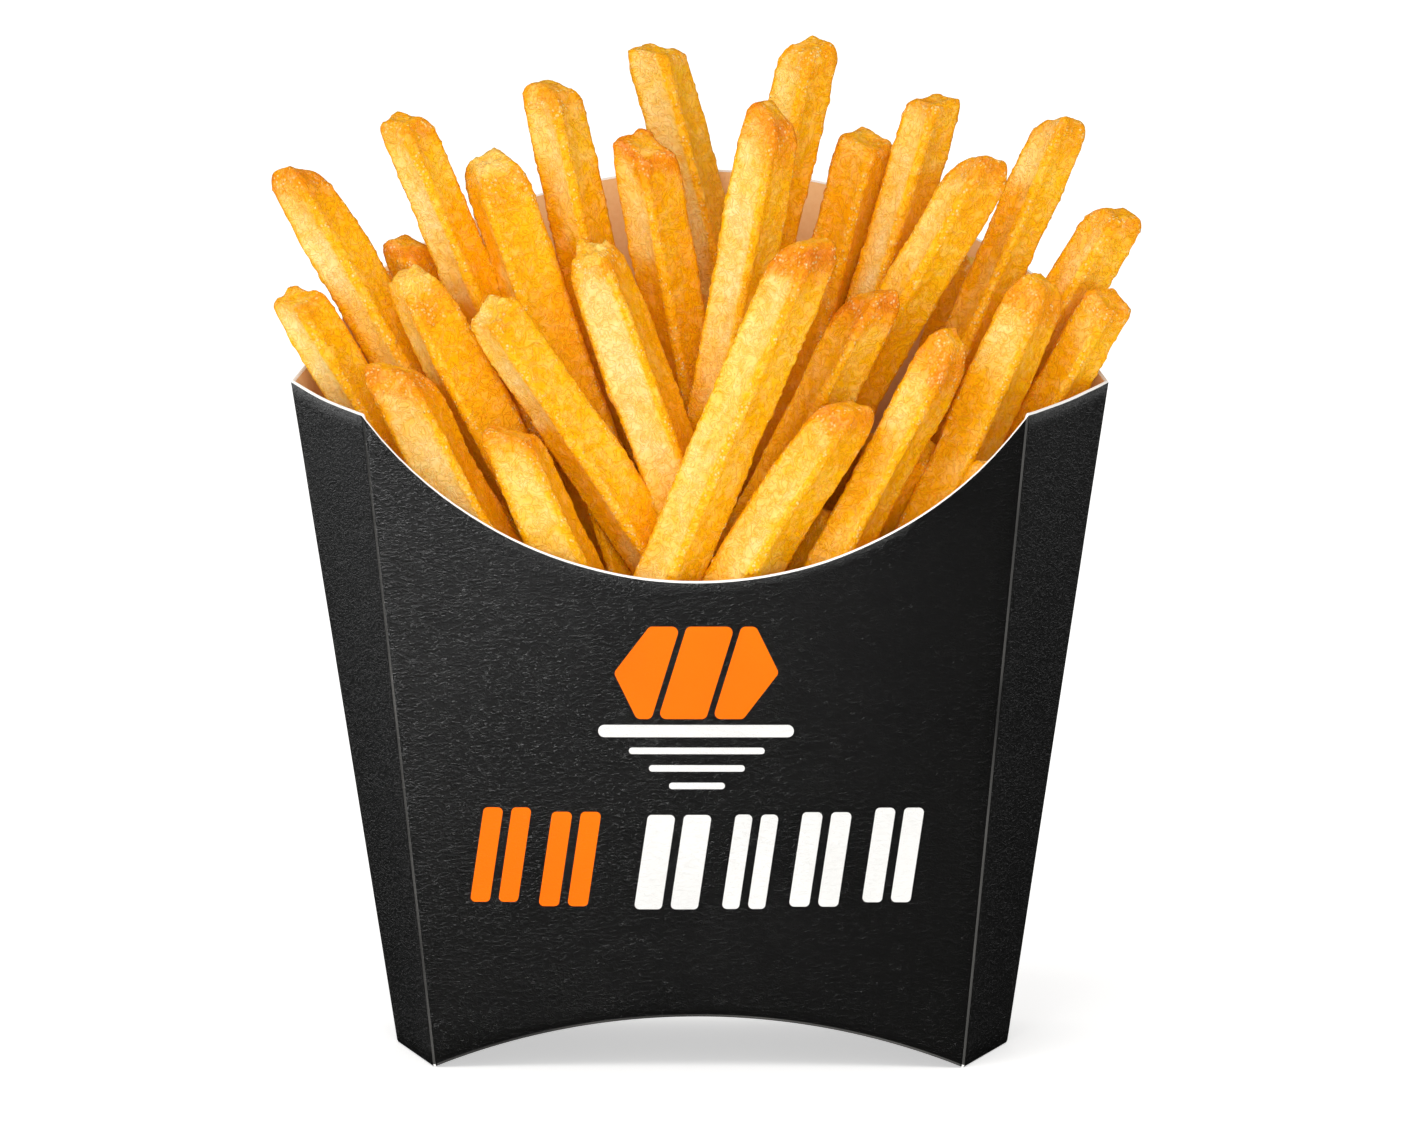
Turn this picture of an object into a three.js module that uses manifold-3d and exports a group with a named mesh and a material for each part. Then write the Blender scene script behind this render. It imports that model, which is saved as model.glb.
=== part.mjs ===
// French fries in a folded paperboard scoop carton, standing upright.
// Millimetres, +Z up. The carton's scooped front faces -Y; its side corners are at -X and +X.
import * as THREE from "three";
import { mergeVertices } from "three/addons/utils/BufferGeometryUtils.js";
import Module from "manifold-3d";

const wasm = await Module();
wasm.setup();

// ---- driving dimensions -------------------------------------------------
const BOARD = 0.6; // thickness of the folded board
const GAP = 0.35; // clearance between the board and the food
const BASE_HALF_WIDTH = 40; // centre to a front crease, at the floor
const BASE_HALF_DEPTH = 20; // centre to the front panel, at the floor
const BASE_HALF_SEAM = 46.4; // centre to a side corner, at the floor
const CREASE_HEIGHT = 101.2; // height at which the next three are taken
const TOP_HALF_WIDTH = 49.9;
const TOP_HALF_DEPTH = 25.5;
const TOP_HALF_SEAM = 61.8;
const SEAM_HEIGHT = 102; // top of the side corners
const SCOOP_RADIUS = 61.5; // round cut-out of the front panel
const SCOOP_LOW = 75.2; // its lowest point
const BACK_RADIUS = 88; // rounded top of the back panel
const BACK_HIGH = 130.3; // its highest point
const BACK_CREASE_HALF = 51; // where the back curve meets a rear crease
const ARCH_RADIUS = 105.2; // arched lower edge, front and back
const ARCH_RISE = 7.9;
const FRY_FOOT = 60; // height of the lower end of every drawn fry length
const FRY_CORNER = 1.3; // rounding of a fry's four long edges
const CORE_FRONT = 70; // top of the packed core just behind the front panel
const CORE_BACK = 84; // and just in front of the back panel

// Each fry that stands in view: name, tip x y z, foot x y (at FRY_FOOT), side of its square
// section, and the turn of its left face away from the front, in degrees.
const FRIES = [
  ["A", 17.4, -22.5, 126.1, -10.6, -18.2, 7.04, 41],
  ["B", 22.9, -20.7, 100.7, -2.2, -18.3, 7.27, 36],
  ["F1", -28.2, -20.8, 97.1, -12.4, -15.0, 7.23, 12],
  ["L6", -30.9, -16.9, 115.4, 4.1, -9.2, 6.7, 55],
  ["F2", -45.1, -14.2, 104.4, -20.8, -18.2, 7.4, 17],
  ["R8", 38.1, -14.8, 109.5, 12.0, -18.3, 5.87, 34],
  ["R6", 50.9, -6.0, 115.6, 25.6, -14.6, 6.85, 32],
  ["R9", 27.0, -12.9, 116.8, -1.9, -4.7, 6.36, 49],
  ["M1", -15.4, -7.2, 121.0, 7.9, -14.3, 7.2, 21],
  ["M2", -8.3, 1.9, 137.3, 4.4, 6.5, 7.01, 50],
  ["M3", 11.4, -7.3, 142.9, -4.7, -1.2, 6.58, 37],
  ["T1", -7.1, 20.8, 149.3, 16.9, 18.4, 6.76, 30],
  ["T2", 16.8, 5.1, 152.0, -3.5, 15.9, 6.36, 43],
  ["L5", -22.2, 4.4, 144.8, -4.2, 6.3, 6.83, 39],
  ["L4", -31.4, 1.3, 134.4, -6.3, -7.0, 7.63, 67],
  ["L3", -44.2, 1.3, 140.3, -9.8, 3.1, 6.21, 44],
  ["L2", -43.9, 5.9, 120.9, -18.1, 6.9, 6.11, 45],
  ["L2b", -41.3, -6.9, 114.7, -13.5, -8.6, 7.3, 65],
  ["L1", -60.2, 2.7, 131.5, -19.2, -2.7, 6.48, 41],
  ["L0", -61.1, -1.0, 115.1, -27.1, -7.0, 6.29, 46],
  ["R1", 25.5, 8.5, 137.8, 3.3, 12.3, 6.61, 33],
  ["R2", 35.7, 5.6, 144.0, 10.6, 7.6, 6.09, 44],
  ["R3", 42.8, -4.4, 134.7, 1.1, 1.0, 6.56, 54],
  ["R4", 54.6, 5.6, 139.6, 19.8, -0.7, 6.17, 48],
  ["R5", 62.6, 4.9, 125.3, 22.8, 7.9, 6.22, 49],
  ["R7", 62.4, -1.3, 114.6, 29.0, -2.3, 5.93, 38],
];
// The lower fries packed between and behind them: tip x y z, foot x y, side of the section.
// Their turn follows from their place in the list.
const PACKED = [
  [27.3, -19.5, 76.3, 21.8, -18.5, 6.68],
  [44.3, -17.7, 89.9, 33.3, -16.6, 6.11],
  [-42.2, -17.2, 86.0, -32.5, -17.4, 6.15],
  [47.4, -11.3, 84.5, 36.7, -9.8, 6.04],
  [-48.4, -11.0, 84.1, -41.3, -11.6, 6.89],
  [19.9, -10.9, 82.7, 13.4, -10.8, 6.70],
  [-32.5, -8.3, 82.3, -21.1, -9.0, 6.71],
  [33.2, -8.0, 92.3, 17.0, -5.9, 6.71],
  [35.4, -3.7, 84.7, 26.1, -3.2, 6.75],
  [50.6, -3.4, 76.4, 44.7, -3.4, 6.82],
  [18.1, -1.4, 77.4, 13.4, -3.6, 6.02],
  [-48.9, -0.3, 80.0, -39.4, -2.4, 6.75],
  [49.9, 3.8, 88.7, 40.6, 4.4, 6.20],
  [-47.2, 5.5, 93.6, -29.5, 3.6, 6.83],
  [-37.4, 5.8, 89.2, -22.6, 2.8, 6.13],
  [-52.0, 6.8, 88.6, -41.4, 4.5, 6.28],
  [27.3, 9.0, 91.1, 16.0, 11.3, 6.55],
  [51.2, 10.6, 95.3, 36.2, 10.2, 6.25],
  [-50.7, 11.4, 95.7, -31.3, 13.0, 6.10],
  [-17.9, 11.7, 97.2, -13.3, 10.0, 7.04],
  [41.3, 12.4, 102.6, 27.6, 14.0, 6.20],
  [-31.0, 13.9, 93.3, -20.2, 11.1, 6.12],
  [-50.5, 14.1, 113.3, -24.3, 10.4, 7.18],
  [-7.0, 14.1, 95.8, -7.6, 12.4, 6.04],
  [51.2, 14.8, 109.3, 32.7, 16.0, 6.12],
  [19.6, 17.9, 89.4, 16.2, 13.4, 6.16],
  [-26.5, 19.0, 113.2, -18.7, 16.3, 7.33],
  [-11.7, 19.1, 96.1, -11.1, 17.7, 7.36],
  [42.0, 19.2, 115.3, 21.3, 16.3, 7.12],
  [-44.3, 20.0, 99.2, -37.2, 18.5, 6.08],
  [-4.3, 20.4, 87.0, 2.5, 18.1, 6.12],
  [-31.4, 20.6, 94.3, -26.3, 18.9, 6.02],
  [-6.0, 21.4, 114.7, 9.4, 18.2, 6.05],
];

// ---- small helpers ------------------------------------------------------
// A repeatable value between 0 and 1 for a whole number.
const noise = (n) => {
  const s = Math.sin(n * 12.9898 + 4.1414) * 43758.5453;
  return s - Math.floor(s);
};

function solid(geometry) {
  const g = geometry.clone();
  for (const name of ["normal", "uv"]) g.deleteAttribute(name);
  const m = mergeVertices(g, 1e-4);
  return new wasm.Manifold(
    new wasm.Mesh({
      numProp: 3,
      vertProperties: new Float32Array(m.attributes.position.array),
      triVerts: new Uint32Array(m.index.array),
    }),
  );
}

function geometryOf(manifold) {
  const m = manifold.getMesh();
  const g = new THREE.BufferGeometry();
  g.setAttribute("position", new THREE.BufferAttribute(new Float32Array(m.vertProperties), 3));
  g.setIndex(new THREE.BufferAttribute(new Uint32Array(m.triVerts), 1));
  g.computeVertexNormals();
  return g;
}

// The carton's six-sided section at height z, moved inwards by inset:
// front right crease, right corner, rear right crease, and the same on the left.
function section(z, inset) {
  const t = z / CREASE_HEIGHT;
  const w = BASE_HALF_WIDTH + (TOP_HALF_WIDTH - BASE_HALF_WIDTH) * t;
  const d = BASE_HALF_DEPTH + (TOP_HALF_DEPTH - BASE_HALF_DEPTH) * t;
  const s = BASE_HALF_SEAM + (TOP_HALF_SEAM - BASE_HALF_SEAM) * t;
  const along = Math.hypot(s - w, d); // length of a side wing across the section
  const corner = s - (inset * along) / d;
  const depth = d - inset;
  const crease = corner - (depth * (s - w)) / d;
  return [
    [crease, -depth],
    [corner, 0],
    [crease, depth],
    [-crease, depth],
    [-corner, 0],
    [-crease, -depth],
  ];
}

// A six-sided tapered block from z0 to z1 on that section.
function block(z0, z1, inset) {
  const g = new THREE.CylinderGeometry(1, 1, z1 - z0, 6, 1, false, Math.PI / 6);
  g.rotateX(Math.PI / 2);
  const p = g.attributes.position;
  for (let i = 0; i < p.count; i++) {
    const z = p.getZ(i) > 0 ? z1 : z0;
    if (Math.hypot(p.getX(i), p.getY(i)) < 0.5) {
      p.setXYZ(i, 0, 0, z);
      continue;
    }
    // corner 0 is at -60 degrees from +X, and they run anticlockwise
    const a = Math.atan2(p.getY(i), p.getX(i));
    const k = (Math.round((a * 3) / Math.PI) + 7) % 6;
    const [x, y] = section(z, inset)[k];
    p.setXYZ(i, x, y, z);
  }
  return solid(g);
}

// A shape drawn in X and Z, extruded from y0 to y1.
function acrossY(shape, y0, y1) {
  const g = new THREE.ExtrudeGeometry(shape, { depth: y1 - y0, bevelEnabled: false, steps: 1 });
  g.rotateX(Math.PI / 2);
  g.translate(0, y1, 0);
  return solid(g);
}

const frontRim = (x, grow = 0) => {
  const a = Math.abs(x);
  if (a <= TOP_HALF_WIDTH)
    return SCOOP_LOW + SCOOP_RADIUS - Math.sqrt(SCOOP_RADIUS ** 2 - a ** 2) + grow;
  const crease = frontRim(TOP_HALF_WIDTH);
  const t = Math.min(1, (a - TOP_HALF_WIDTH) / (TOP_HALF_SEAM - TOP_HALF_WIDTH));
  return crease + (SEAM_HEIGHT - crease) * t - 0.5 * Math.sin(Math.PI * t) + grow;
};
const backRim = (x, grow = 0) => {
  const a = Math.abs(x);
  if (a <= BACK_CREASE_HALF) return BACK_HIGH - BACK_RADIUS + Math.sqrt(BACK_RADIUS ** 2 - a ** 2) + grow;
  const crease = backRim(BACK_CREASE_HALF);
  const t = Math.min(1, (a - BACK_CREASE_HALF) / (TOP_HALF_SEAM - BACK_CREASE_HALF));
  return crease + (SEAM_HEIGHT - crease) * t - 0.6 * Math.sin(Math.PI * t) + grow;
};
const arch = (x) => {
  const a = Math.abs(x);
  return a >= BASE_HALF_WIDTH ? 0 : Math.max(0, ARCH_RISE - ARCH_RADIUS + Math.sqrt(ARCH_RADIUS ** 2 - a ** 2));
};

// The region between a height profile and a level line, over |x| <= 95.
function regionShape(profile, level, half = 95, breaks = []) {
  const xs = new Set();
  for (let i = -48; i <= 48; i++) xs.add((half * i) / 48);
  for (const b of breaks) {
    xs.add(b);
    xs.add(-b);
  }
  const sorted = [...xs].sort((a, b) => a - b);
  const s = new THREE.Shape();
  s.moveTo(-half, level);
  for (const x of sorted) s.lineTo(x, profile(x));
  s.lineTo(half, level);
  s.closePath();
  return s;
}

// ---- the carton ---------------------------------------------------------
function makeCarton() {
  const outer = block(0, 140, 0);
  const floor = (x) => arch(x) + BOARD;
  const above = acrossY(regionShape(floor, 170, 95, [BASE_HALF_WIDTH]), -90, 90);
  const cavity = block(-5, 150, BOARD).intersect(above);
  const under = acrossY(regionShape(arch, -20, BASE_HALF_WIDTH, []), -90, 90);
  const frontTop = acrossY(regionShape((x) => frontRim(x), 170, 95, [TOP_HALF_WIDTH, TOP_HALF_SEAM]), -90, 0);
  const backTop = acrossY(regionShape((x) => backRim(x), 170, 95, [BACK_CREASE_HALF, TOP_HALF_SEAM]), 0, 90);
  return outer.subtract(cavity).subtract(under).subtract(frontTop).subtract(backTop);
}

// ---- the fries ----------------------------------------------------------
// One fry: a square bar with rounded long edges and rounded ends, from foot to tip.
function fry(tip, foot, side, turn) {
  const r = FRY_CORNER;
  const h = side / 2 - 0.7;
  const s = new THREE.Shape();
  s.moveTo(-h + r, -h);
  s.lineTo(h - r, -h);
  s.lineTo(h, -h + r);
  s.lineTo(h, h - r);
  s.lineTo(h - r, h);
  s.lineTo(-h + r, h);
  s.lineTo(-h, h - r);
  s.lineTo(-h, -h + r);
  s.closePath();
  const axis = new THREE.Vector3().subVectors(tip, foot);
  const length = axis.length();
  axis.normalize();
  const g = new THREE.ExtrudeGeometry(s, {
    depth: length - 1,
    steps: 1,
    bevelEnabled: true,
    bevelThickness: 1,
    bevelSize: 0.7,
    bevelSegments: 1,
  });
  const front = new THREE.Vector3(0, -1, 0).addScaledVector(axis, axis.y).normalize();
  const right = new THREE.Vector3().crossVectors(front, axis).normalize();
  if (right.x < 0) right.negate();
  const a = THREE.MathUtils.degToRad(turn);
  const left = front.clone().multiplyScalar(Math.cos(a)).addScaledVector(right, -Math.sin(a));
  const u = new THREE.Vector3().crossVectors(left, axis).normalize();
  const m = new THREE.Matrix4().makeBasis(u, new THREE.Vector3().crossVectors(axis, u), axis);
  m.setPosition(foot);
  g.applyMatrix4(m);
  return solid(g);
}

function makeHeap() {
  const bars = [];
  for (const [, x, y, z, fx, fy, side, turn] of FRIES)
    bars.push(fry(new THREE.Vector3(x, y, z), new THREE.Vector3(fx, fy, FRY_FOOT), side, turn));
  PACKED.forEach(([x, y, z, fx, fy, side], i) => {
    const turn = 15 + 60 * noise(i + 250);
    bars.push(fry(new THREE.Vector3(x, y, z), new THREE.Vector3(fx, fy, FRY_FOOT), side, turn));
  });
  // the packed core: what is below and between them, its top sloping up to the back
  const slope = new THREE.Shape();
  slope.moveTo(-60, -5);
  slope.lineTo(60, -5);
  slope.lineTo(60, CORE_BACK);
  slope.lineTo(24, CORE_BACK);
  slope.lineTo(-24, CORE_FRONT);
  slope.lineTo(-60, CORE_FRONT);
  slope.closePath();
  const wedge = new THREE.ExtrudeGeometry(slope, { depth: 200, bevelEnabled: false, steps: 1 });
  wedge.translate(0, 0, -100);
  wedge.applyMatrix4(
    new THREE.Matrix4().makeBasis(
      new THREE.Vector3(0, 1, 0),
      new THREE.Vector3(0, 0, 1),
      new THREE.Vector3(1, 0, 0),
    ),
  );
  const core = solid(wedge);
  let heap = core;
  for (const b of bars) heap = heap.add(b);
  // stay inside the board below its rim, and clear of the rim itself
  const inside = block(-10, 175, BOARD + GAP);
  const lowFront = acrossY(regionShape((x) => frontRim(x, GAP), -20, 95, [TOP_HALF_WIDTH, TOP_HALF_SEAM]), -90, 0);
  const lowBack = acrossY(regionShape((x) => backRim(x, GAP), -20, 95, [BACK_CREASE_HALF, TOP_HALF_SEAM]), 0, 90);
  const below = acrossY(regionShape((x) => arch(x) + BOARD + GAP, -40, 95, [BASE_HALF_WIDTH]), -90, 90);
  heap = heap.subtract(lowFront.add(lowBack).subtract(inside)).subtract(below);
  // one body with no closed pocket inside
  return heap.decompose().sort((a, b) => b.volume() - a.volume())[0];
}

const carton = new THREE.Mesh(
  geometryOf(makeCarton()),
  new THREE.MeshStandardMaterial({ color: 0x1c1c1b, roughness: 0.55, metalness: 0 }),
);
carton.name = "carton";
const fries = new THREE.Mesh(
  geometryOf(makeHeap()),
  new THREE.MeshStandardMaterial({ color: 0xf0a93a, roughness: 0.6, metalness: 0 }),
);
fries.name = "fries";

const part = new THREE.Group();
part.add(carton, fries);
// the origin is at the middle of the whole thing's footprint, on the floor
const box = new THREE.Box3().setFromObject(part);
part.position.set(-(box.min.x + box.max.x) / 2, -(box.min.y + box.max.y) / 2, -box.min.z);

export default part;
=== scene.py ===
import math

import bpy
import numpy as np
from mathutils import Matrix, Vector
from mathutils.bvhtree import BVHTree
from mathutils.geometry import delaunay_2d_cdt


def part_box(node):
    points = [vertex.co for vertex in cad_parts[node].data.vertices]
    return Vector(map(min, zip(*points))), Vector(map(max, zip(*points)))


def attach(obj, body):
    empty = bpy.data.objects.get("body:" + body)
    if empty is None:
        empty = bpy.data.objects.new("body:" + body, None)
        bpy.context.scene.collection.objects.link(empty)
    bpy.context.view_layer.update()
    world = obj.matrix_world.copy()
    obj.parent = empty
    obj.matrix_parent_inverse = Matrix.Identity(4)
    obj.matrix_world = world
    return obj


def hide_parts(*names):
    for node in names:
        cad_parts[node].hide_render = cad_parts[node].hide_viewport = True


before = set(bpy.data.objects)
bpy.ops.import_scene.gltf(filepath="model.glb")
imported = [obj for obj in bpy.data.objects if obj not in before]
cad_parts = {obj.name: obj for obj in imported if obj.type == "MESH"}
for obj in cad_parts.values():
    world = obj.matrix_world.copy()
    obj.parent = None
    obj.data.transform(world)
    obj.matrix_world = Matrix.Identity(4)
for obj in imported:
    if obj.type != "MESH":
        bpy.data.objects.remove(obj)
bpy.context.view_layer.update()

# Millimetres in the carton's own frame (x = 0 at its middle, z = 0 the floor);
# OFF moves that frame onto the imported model.
lo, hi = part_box("carton")
OFF = np.array([(lo.x + hi.x) * 500.0, hi.y * 1000.0 - 27.0815, 0.0])


def metres(p):
    return (np.asarray(p, float) + OFF) * 0.001


# ------------------------------------------------------------------ noise
def _hash(ix, iy, iz, seed):
    h = (ix * 374761393 + iy * 668265263 + iz * 1103515245 + seed * 97531) & 0xFFFFFFFF
    h = ((h ^ (h >> 13)) * 1274126177) & 0xFFFFFFFF
    h = ((h ^ (h >> 15)) * 2246822519) & 0xFFFFFFFF
    return ((h ^ (h >> 16)) & 0xFFFFFF) / float(0xFFFFFF)


def noise(p, size, seed=0):
    """Smooth value noise, 0 to 1, at points p (n, 3); size is the cell in mm, one number or three."""
    q = np.asarray(p, float) / np.asarray(size, float) + 1000.0
    i = np.floor(q).astype(np.int64)
    f = q - i
    f = f * f * f * (f * (f * 6 - 15) + 10)
    out = np.zeros(len(q))
    for dx in (0, 1):
        wx = f[:, 0] if dx else 1 - f[:, 0]
        for dy in (0, 1):
            wy = f[:, 1] if dy else 1 - f[:, 1]
            for dz in (0, 1):
                wz = f[:, 2] if dz else 1 - f[:, 2]
                out += wx * wy * wz * _hash(i[:, 0] + dx, i[:, 1] + dy, i[:, 2] + dz, seed)
    return out


def ridged(p, size, seed=0):
    return 1 - np.abs(2 * noise(p, size, seed) - 1)


def sstep(a, b, x):
    t = np.clip((x - a) / (b - a), 0, 1)
    return t * t * (3 - 2 * t)


def mix(a, b, t):
    return a * (1 - t) + b * t


def srgb(r, g, b):
    c = np.array([r, g, b], float) / 255.0
    return np.where(c <= 0.04045, c / 12.92, ((c + 0.055) / 1.055) ** 2.4)


# ------------------------------------------------------------ mesh helper
def add_mesh(name, verts, faces, materials, face_mat=None, colours=None, smooth=True, sharp=None):
    me = bpy.data.meshes.new(name)
    me.from_pydata([tuple(v) for v in metres(verts)], [], faces)
    for m in materials:
        me.materials.append(m)
    if face_mat is not None:
        me.polygons.foreach_set("material_index", np.asarray(face_mat, np.int32))
    if colours is not None:
        at = me.color_attributes.new("tone", "FLOAT_COLOR", "POINT")
        rgba = np.ones((len(verts), 4), np.float32)
        rgba[:, : colours.shape[1]] = colours
        at.data.foreach_set("color", rgba.ravel())
    me.polygons.foreach_set("use_smooth", [smooth] * len(me.polygons))
    me.validate()
    me.update()
    if sharp is not None:
        me.set_sharp_from_angle(angle=math.radians(sharp))
    ob = bpy.data.objects.new(name, me)
    bpy.context.scene.collection.objects.link(ob)
    return ob


# -------------------------------------------------------------- materials
def new_material(name):
    m = bpy.data.materials.new(name)
    m.use_nodes = True
    nt = m.node_tree
    bsdf = next(n for n in nt.nodes if n.type == "BSDF_PRINCIPLED")
    return m, nt, bsdf


def node(nt, kind, **values):
    n = nt.nodes.new(kind)
    for k, v in values.items():
        if hasattr(n, k):
            setattr(n, k, v)
        else:
            n.inputs[k.replace("_", " ")].default_value = v
    return n


def object_coords(nt):
    return node(nt, "ShaderNodeTexCoord").outputs["Object"]


def noise_tex(nt, coords, scale, detail=2.0, rough=0.5, distortion=0.0):
    n = node(nt, "ShaderNodeTexNoise")
    n.inputs["Scale"].default_value = scale
    n.inputs["Detail"].default_value = detail
    n.inputs["Roughness"].default_value = rough
    n.inputs["Distortion"].default_value = distortion
    nt.links.new(coords, n.inputs["Vector"])
    return n.outputs["Fac"]


def math_node(nt, op, a, b=None, clamp=False):
    n = node(nt, "ShaderNodeMath", operation=op)
    n.use_clamp = clamp
    for i, v in enumerate((a, b)):
        if v is None:
            continue
        if isinstance(v, (int, float)):
            n.inputs[i].default_value = v
        else:
            nt.links.new(v, n.inputs[i])
    return n.outputs[0]


def map_range(nt, value, a, b, c, d):
    n = node(nt, "ShaderNodeMapRange")
    n.inputs["From Min"].default_value = a
    n.inputs["From Max"].default_value = b
    n.inputs["To Min"].default_value = c
    n.inputs["To Max"].default_value = d
    nt.links.new(value, n.inputs["Value"])
    return n.outputs["Result"]


def emboss(nt, coords):
    """The board's leather emboss: short winding ridges, mostly lying level."""
    squeeze = node(nt, "ShaderNodeMapping")
    squeeze.inputs["Scale"].default_value = (0.75, 0.75, 1.5)
    nt.links.new(coords, squeeze.inputs["Vector"])
    co = squeeze.outputs["Vector"]
    a = noise_tex(nt, co, 1350, 1.0, 0.5, 1.2)
    ridge = math_node(nt, "ABSOLUTE", math_node(nt, "SUBTRACT", a, 0.5))
    ridge = map_range(nt, ridge, 0.0, 0.12, 1.0, 0.0)
    gate = noise_tex(nt, co, 1500, 1.0)
    gate = map_range(nt, gate, 0.34, 0.52, 0.0, 1.0)
    return math_node(nt, "MULTIPLY", ridge, gate)


def board_material(name, colour, dark, rough, strength, spec=0.5, emboss_mm=0.03):
    m, nt, b = new_material(name)
    co = object_coords(nt)
    big = noise_tex(nt, co, 45, 3.0)
    ramp = node(nt, "ShaderNodeValToRGB")
    ramp.color_ramp.elements[0].color = (*dark, 1)
    ramp.color_ramp.elements[1].color = (*colour, 1)
    ramp.color_ramp.elements[0].position = 0.3
    ramp.color_ramp.elements[1].position = 0.7
    nt.links.new(big, ramp.inputs[0])
    nt.links.new(ramp.outputs[0], b.inputs["Base Color"])
    height = emboss(nt, co)
    nt.links.new(map_range(nt, height, 0, 1, rough, rough - 0.05), b.inputs["Roughness"])
    bump = node(nt, "ShaderNodeBump")
    bump.inputs["Strength"].default_value = strength
    bump.inputs["Distance"].default_value = emboss_mm * 0.001
    nt.links.new(height, bump.inputs["Height"])
    nt.links.new(bump.outputs[0], b.inputs["Normal"])
    b.inputs["Specular IOR Level"].default_value = spec
    return m


black = board_material("board_black", (0.0036, 0.0036, 0.0034), (0.0026, 0.0026, 0.0025), 0.42, 1.0, 0.36, 0.028)
# painted highlight: the folds and the front's foot get a lighter grey than the board, as light catching them
crease = board_material("board_fold_highlight", (0.085, 0.084, 0.080), (0.022, 0.022, 0.021), 0.48, 0.5, 0.5)
orange = board_material("print_orange", tuple(srgb(250, 112, 0)), tuple(srgb(245, 106, 0)), 0.6, 0.5, 0.08)
white_ink = board_material("print_white", (0.76, 0.76, 0.75), (0.69, 0.69, 0.68), 0.6, 0.8, 0.1, 0.05)


def plain_board(name, c1, c2, rough, size, bump_mm, translucent=0.0):
    m, nt, b = new_material(name)
    co = object_coords(nt)
    f = noise_tex(nt, co, 60, 4.0, 0.6)
    fine = noise_tex(nt, co, size, 2.0, 0.6)
    both = math_node(nt, "ADD", math_node(nt, "MULTIPLY", f, 0.6), math_node(nt, "MULTIPLY", fine, 0.4))
    ramp = node(nt, "ShaderNodeValToRGB")
    ramp.color_ramp.elements[0].color = (*c1, 1)
    ramp.color_ramp.elements[1].color = (*c2, 1)
    ramp.color_ramp.elements[0].position = 0.35
    ramp.color_ramp.elements[1].position = 0.65
    nt.links.new(both, ramp.inputs[0])
    nt.links.new(ramp.outputs[0], b.inputs["Base Color"])
    nt.links.new(map_range(nt, fine, 0.3, 0.7, rough + 0.06, rough - 0.06), b.inputs["Roughness"])
    bump = node(nt, "ShaderNodeBump")
    bump.inputs["Strength"].default_value = 0.6
    bump.inputs["Distance"].default_value = bump_mm * 0.001
    nt.links.new(fine, bump.inputs["Height"])
    nt.links.new(bump.outputs[0], b.inputs["Normal"])
    b.inputs["Specular IOR Level"].default_value = 0.3
    return m


edge_white = plain_board("board_cut_edge", (0.86, 0.855, 0.84), (0.93, 0.925, 0.91), 0.7, 2600, 0.03)
tan = plain_board("board_inside", tuple(srgb(240, 190, 132)), tuple(srgb(247, 203, 148)), 0.75, 1500, 0.03)


# ----------------------------------------------------------------- carton
BOARD = 0.6
BEND = 0.75  # outside radius of a crease


def frontRim(x):
    a = np.minimum(np.abs(x), 49.9)
    z = 75.2 + 61.5 - np.sqrt(61.5**2 - a**2)
    t = np.clip((np.abs(x) - 49.9) / 11.9, 0, 1)
    return np.where(np.abs(x) <= 49.9, z, z + (102.0 - z) * t - 0.5 * np.sin(np.pi * t))


def backRim(x):
    a = np.minimum(np.abs(x), 51.0)
    z = 130.3 - 88 + np.sqrt(88.0**2 - a**2)
    t = np.clip((np.abs(x) - 51.0) / 10.8, 0, 1)
    return np.where(np.abs(x) <= 51.0, z, z + (102.0 - z) * t - 0.6 * np.sin(np.pi * t))


def arch(x):
    a = np.minimum(np.abs(x), 40.0)
    return np.maximum(0.0, 7.9 - 105.2 + np.sqrt(105.2**2 - a**2))


def corners(z, inset):
    """The front half of the section at heights z: left corner, front left, front right, right corner, then the rear ones."""
    t = z / 101.2
    w, d, s = 40 + 9.9 * t, 20 + 5.5 * t, 46.4 + 15.4 * t
    along = np.hypot(s - w, d)
    corner = s - inset * along / d
    depth = d - inset
    cr = corner - depth * (s - w) / d
    o = np.zeros_like(z)
    return [
        np.stack([-corner, o], 1),
        np.stack([-cr, -depth], 1),
        np.stack([cr, -depth], 1),
        np.stack([corner, o], 1),
        np.stack([cr, depth], 1),
        np.stack([-cr, depth], 1),
    ]


def unit(v):
    return v / np.linalg.norm(v, axis=1, keepdims=True)


def arc_data(z, inset, k):
    c = corners(z, inset)
    a, b, d = c[(k - 1) % 6], c[k], c[(k + 1) % 6]
    e1, e2 = unit(b - a), unit(d - b)
    turn = np.arccos(np.clip((e1 * e2).sum(1), -1, 1))
    r = max(BEND - inset, 0.18)
    return b, e1, e2, turn, r, r * np.tan(turn / 2)


def column(kind, k, f, z, inset):
    """x, y of one column of the front half at heights z. kind 'arc' at corner k, or 'panel' from corner k to k+1."""
    if kind == "arc":
        b, e1, e2, turn, r, tl = arc_data(z, inset, k)
        out = np.stack([e1[:, 1], -e1[:, 0]], 1)
        centre = b - tl[:, None] * e1 - r * out
        phi = turn * f
        rot = np.stack(
            [out[:, 0] * np.cos(phi) - out[:, 1] * np.sin(phi), out[:, 0] * np.sin(phi) + out[:, 1] * np.cos(phi)], 1
        )
        return centre + r * rot
    b0, _, e, _, _, t0 = arc_data(z, inset, k)
    b1, _, _, _, _, t1 = arc_data(z, inset, (k + 1) % 6)
    p0, p1 = b0 + t0[:, None] * e, b1 - t1[:, None] * e
    p = p0 + (p1 - p0) * f
    out = np.stack([e[:, 1], -e[:, 0]], 1)
    return p + out * bow(k, f, z)[:, None]


def bow(k, f, z):
    amp = 0.45 if k == 1 else 0.18
    return amp * (1 - (2 * f - 1) ** 2) * np.sin(np.pi * np.clip(z / 118, 0, 1))


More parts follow.
